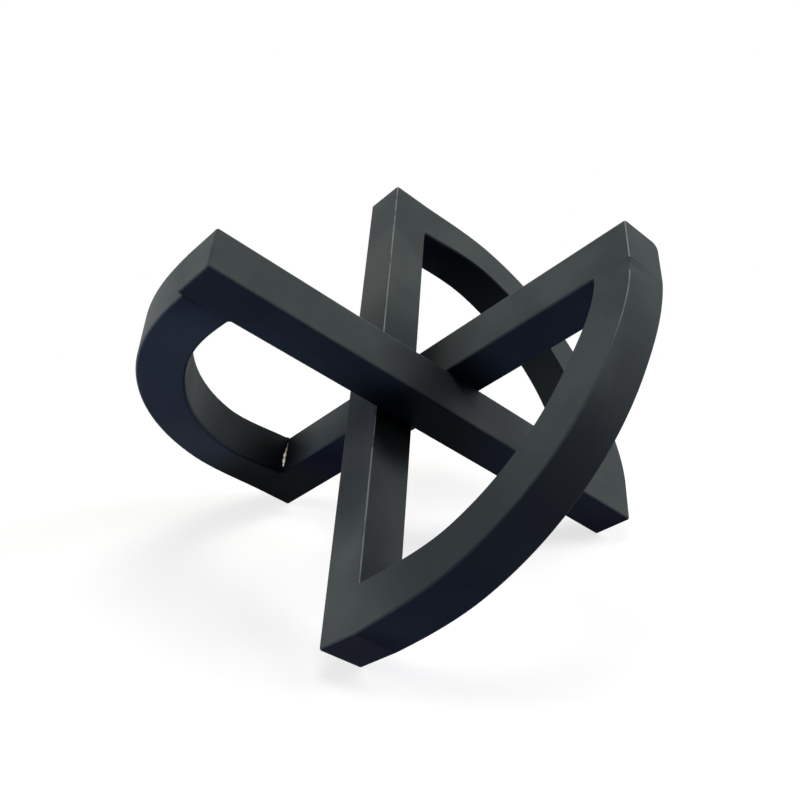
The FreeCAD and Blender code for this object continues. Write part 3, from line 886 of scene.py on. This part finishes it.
# %% [markdown]
# ## The curved tubes
#
# The corner lines and their radii give a curved tube. Its inner edges run out to sharp ones where they
# meet the straight tubes. The lighter line along an edge, partly wear and partly a painted highlight,
# breaks over the filler at a joint and is faint on the inner edges. It could be left to a noise alone,
# but then bright lines would cross the joints.

# %% Curved tubes
EDGE_RUN_OUT = 1.2 * MM
FILLER = 3.0 * MM
FILLER_FADE = 1.5 * MM
INNER_WEAR_AND_HIGHLIGHT_SHARE = 0.25


def add_curved_tube(side):
    """One curved tube: full edge radius along it, the rim's radius at its outer ends, none inside."""
    step = LEFT_TOP_STEP if BEND_TOP[side] == "left" else 0.0
    corners = bend_corners(side, step)
    seam = open_seam(corners) if step else np.zeros(len(corners))
    corners[:, 0, 2] += SEAM_DEPTH * seam
    gap = np.minimum(corners[..., 0], corners[..., 1])
    inner = SHARP + (EDGE - SHARP) * smooth_step(gap / EDGE_RUN_OUT)
    outer = RIM + (EDGE - RIM) * smooth_step(gap / DRAW_IN)
    radii = np.where(DEPTH_SIGNS > 0, outer, inner)
    dent = dimple_shift(corners, side) if BEND_TOP[side] == "right" else 0.0
    rings, normals, edge = loft(to_part(corners, side), radii, dent)
    edge *= smooth_step((gap.min(axis=1) - FILLER) / FILLER_FADE)[:, None]
    # A ring holds edge 0, the flat after it, edge 1 and so on. Edges 2 and 3 are the inner ones, and
    # the seam opens along edge 0 and the flat before it.
    edge[:, rings.shape[1] // 2:] *= INNER_WEAR_AND_HIGHLIGHT_SHARE
    edge[:, -len(FLAT_SHARES):] -= seam[:, None] * SEAM_FLATS
    edge[:, :len(ARC_ANGLES)] -= seam[:, None]
    name = f"curved_tube_{BEND_TOP[side]}"
    return add_piece(name + "_skin", rings, normals, edge, ROLLED_PAINT, name)


for side in range(3):
    piece = add_curved_tube(side)
    print(piece.name, "has", len(piece.data.polygons), "faces")

# %% [markdown]
# ## The straight tubes
#
# A straight tube is a sawn length of square tube. A plain box with rounded edges would nearly do, but
# where a curved tube lands, the two edges of the covered side run out, because the joint is ground
# flush. So it is the same surface as the bends, with a straight path and with more stations where the
# edges run out. This cell measures where the curved tubes land, and the next one makes the tubes.

# %% The shape of a straight tube
RUN_OUT = 1.0 * MM
RUN_OUT_STATIONS = RUN_OUT * np.linspace(-1.2, 0.4, 12)
BAR_STATIONS = 60


def bar_corners(a, free_c_high, free_b_high, free_c_low, free_b_low):
    """The section's corners at each a, drawn in on each side by the distance given for it."""
    ring = [
        (free_b_low - WIDTH, WIDTH - free_c_high),
        (-free_b_high, WIDTH - free_c_high),
        (-free_b_high, free_c_low),
        (free_b_low - WIDTH, free_c_low),
    ]
    stations = [np.stack(np.broadcast_arrays(a, b, c), axis=-1) for b, c in ring]
    return np.stack(stations, axis=1)


def landing_starts(side):
    """How far from the knot's middle the inner faces of the two curved tubes meet this tube."""
    foot = bend_corners(side)[0, 2:, 0].mean()
    top = bend_corners((side + 2) % 3)[-1, 2:, 1].mean()
    return foot, top


def add_straight_tube(side):
    """One straight tube between its caps; edges 1 and 2 run out at the foot, 2 and 3 at the top."""
    foot, top = landing_starts(side)
    end = REACH - CAP
    near_foot = foot + RUN_OUT_STATIONS
    near_top = -top - RUN_OUT_STATIONS
    a = np.sort(np.concatenate([np.linspace(-end, end, BAR_STATIONS), near_foot, near_top]))
    at_foot = smooth_step((a - foot) / RUN_OUT + 1)
    at_top = smooth_step((-a - top) / RUN_OUT + 1)
    covered = np.stack([0 * a, at_foot, np.maximum(at_foot, at_top), at_top], axis=1)
    radii = EDGE + (SHARP - EDGE) * covered
    if BAR_TOP[side] == "left":
        radii[:, 3] = EDGE + (STEP_EDGE - EDGE) * at_top
    still = np.zeros_like(a)
    rings, normals, edge = loft(to_part(bar_corners(a, still, still, still, still), side), radii)
    name = f"straight_tube_{SIDES[side]}"
    return add_piece(name + "_skin", rings, normals, edge, TUBE_PAINT, name)


for side in range(3):
    foot, top = landing_starts(side)
    print(f"straight_tube_{SIDES[side]} is free from {-top / MM:.1f} to {foot / MM:.1f} mm")

# %% [markdown]
# ## The end caps
#
# A square plate closes each end of a straight tube. It is welded on and ground, so it goes on with the
# tube's section and has a rounded rim on the three sides that are free. A Bevel modifier would round the
# fourth side too, where the curved tube goes on. In the picture the far corner of the right top is
# knocked round, and the rim at the left top has less of the lighter edge, which is partly wear and
# partly a painted highlight.

# %% End caps, with the tubes they close
CAP_SHARES = np.linspace(0, 0.99, 4)
LEAST_RADIUS = 0.1 * MM
KNOCKED_CORNER = 2.8 * MM
LEFT_TOP_RIM_WEAR_AND_HIGHLIGHT_SHARE = 0.3


def add_cap(side, foot):
    """One end cap: a = reach - rim (1 - sin u) and drawn in by rim (1 - cos u) on its free sides."""
    straight = REACH - CAP + (CAP - RIM) * CAP_SHARES
    a = np.concatenate([straight, REACH - RIM * (1 - np.sin(ARC_ANGLES))])
    draw = np.concatenate([0 * straight, RIM * (1 - np.cos(ARC_ANGLES))])
    free = np.maximum(EDGE - draw, LEAST_RADIUS)
    gone = np.full_like(a, SHARP)
    still = np.zeros_like(a)
    if foot:
        corners = bar_corners(a, draw, still, draw, draw)
        radii = np.stack([free, gone, gone, free], axis=1)
        name = f"end_cap_{SIDES[side]}_foot"
    else:
        corners = bar_corners(-a, draw, draw, still, draw)[::-1]
        last = np.minimum(free, STEP_EDGE) if BAR_TOP[side] == "left" else gone
        knocked = free + (KNOCKED_CORNER - EDGE) * smooth_step((a - REACH + CAP) / CAP)
        first = knocked if BAR_TOP[side] == "right" else free
        radii = np.stack([first, free, gone, last], axis=1)[::-1]
        name = f"end_cap_{BAR_TOP[side]}_top"
    rings, normals, edge = loft(to_part(corners, side), radii)
    # the left top's rim keeps only a share of the lighter edge of wear and painted highlight
    edge *= LEFT_TOP_RIM_WEAR_AND_HIGHLIGHT_SHARE if name == "end_cap_left_top" else 1.0
    return add_piece(name + "_skin", rings, normals, edge, CAP_PAINT, name)


for side in range(3):
    for piece in (add_straight_tube(side), add_cap(side, True), add_cap(side, False)):
        cad_box = np.array(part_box(piece.name.removesuffix("_skin")))
        place = np.array([vertex.co for vertex in piece.data.vertices])
        off = np.abs(np.stack([place.min(0), place.max(0)]) - cad_box).max()
        print(piece.name, "differs from the CAD box by at most", round(off / MM, 2), "mm")

# %% [markdown]
# ## The shape of a weld bead
#
# The inner corner of each joint holds a small bead with a hollow face. It is a quarter circle
# carried across the tube, a little uneven, and thinner towards its ends. A curve with a round
# profile would be simpler, but a bead that fills a corner is hollow and its size changes all along.

# %% The shape of a weld bead
BEAD_ROOT = 0.25 * MM
BEAD_MARGIN = 0.25 * MM
BEAD_STATIONS = 60
BEAD_ANGLES = np.radians(np.linspace(0, 90, 9))
BEAD_END = 0.02
BEAD_POWER = 8
# Two waves along a bead: height, waves in radians over its length, and radians more for each side.
BEAD_WAVES = [(0.16, 31, 1), (0.10, 73, 2)]


def add_corner_weld(side, foot, leg, start, material, slot):
    """A bead in the corner between b = 0 and a curved tube's foot, or the mirrored one at a top.

    Across the tube, w runs from start to the width and x from 0 to 1. The bead's leg there is
    g = leg (1 + end - (2 x - 1)^power) (1 + wobble), and the hollow face is a quarter circle about the
    point g away from both sides.
    """
    x = np.linspace(0, 1, BEAD_STATIONS)
    w = start + x * (WIDTH - BEAD_MARGIN - start)
    wobble = sum(high * np.sin(waves * x + turn * side) for high, waves, turn in BEAD_WAVES)
    g = leg * (1 + BEAD_END - (2 * x - 1) ** BEAD_POWER) * (1 + wobble)
    sine, cosine = np.sin(BEAD_ANGLES), np.cos(BEAD_ANGLES)
    back = g[:, None] * (1 - sine)
    up = g[:, None] * (1 - cosine)
    root = np.full((len(w), 1), -BEAD_ROOT)
    back = np.concatenate([back, root, root], axis=1)
    up = np.concatenate([up, up[:, -1:], root], axis=1)
    corner = landing_starts(side)[0] if foot else landing_starts((side + 1) % 3)[1]
    along = corner - back
    across = np.broadcast_to(w[:, None], along.shape)
    if foot:
        points = np.stack([along, up, across], axis=-1)
        name = f"weld_{SIDES[side]}_foot"
    else:
        points = np.stack([up, along, across - WIDTH], axis=-1)[:, ::-1]
        name = f"weld_{BEND_TOP[side]}_top"
    rings = to_part(points, side)
    around = np.gradient(np.concatenate([rings[:, -1:], rings, rings[:, :1]], axis=1), axis=1)[:, 1:-1]
    normals = unit(np.cross(np.gradient(rings, axis=0), around))
    edge = np.zeros(rings.shape[:2])
    return add_piece(name + "_skin", rings, normals, edge, material, name)


print("a bead's leg changes by", round(sum(wave[0] for wave in BEAD_WAVES), 2), "of itself at most")

# %% [markdown]
# ## Weld beads
#
# The beads are alike, but for two that the picture tells apart. The one at the left foot has lost its
# paint and shows as a narrow, ragged, pale line, and the one at the left top is larger. The beads at
# the crossings are hidden from the front. They could have a new shape too, but the CAD model's own
# is enough there, with the paint of the others.

# %% Weld beads
BEAD_LEG = 1.1 * MM
LARGE_BEAD_LEG = 1.8 * MM
BARE_LEG = 0.60 * MM
BARE_START = 2.4 * MM
CROSSING_BEADS = ["weld_right_over_front", "weld_front_over_left", "weld_right_over_left"]

painted_finish = (BEAD_LEG, BEAD_MARGIN, BEAD_PAINT, "black_weld_coat")
large_finish = (LARGE_BEAD_LEG, BEAD_MARGIN, BEAD_PAINT, "black_weld_coat")
bare_finish = (BARE_LEG, BARE_START, BARE_BEAD, "bare_joint_edge")
for side in range(3):
    foot_finish = bare_finish if SIDES[side] == "left" else painted_finish
    top_finish = large_finish if BEND_TOP[side] == "left" else painted_finish
    low_bead = add_corner_weld(side, True, *foot_finish)
    high_bead = add_corner_weld(side, False, *top_finish)
    print(low_bead.name, "and", high_bead.name, "have", len(low_bead.data.polygons), "faces each")

for name in CROSSING_BEADS:
    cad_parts[name].data.materials.clear()
    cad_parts[name].data.materials.append(BEAD_PAINT)
print("the crossings keep", len(CROSSING_BEADS), "pairs of beads from the CAD model")

# %% [markdown]
# ## Finish
#
# The view is left plain, so that a colour shows about as it is written.

# %% Finish
scene = bpy.context.scene
scene.view_settings.view_transform = "Standard"
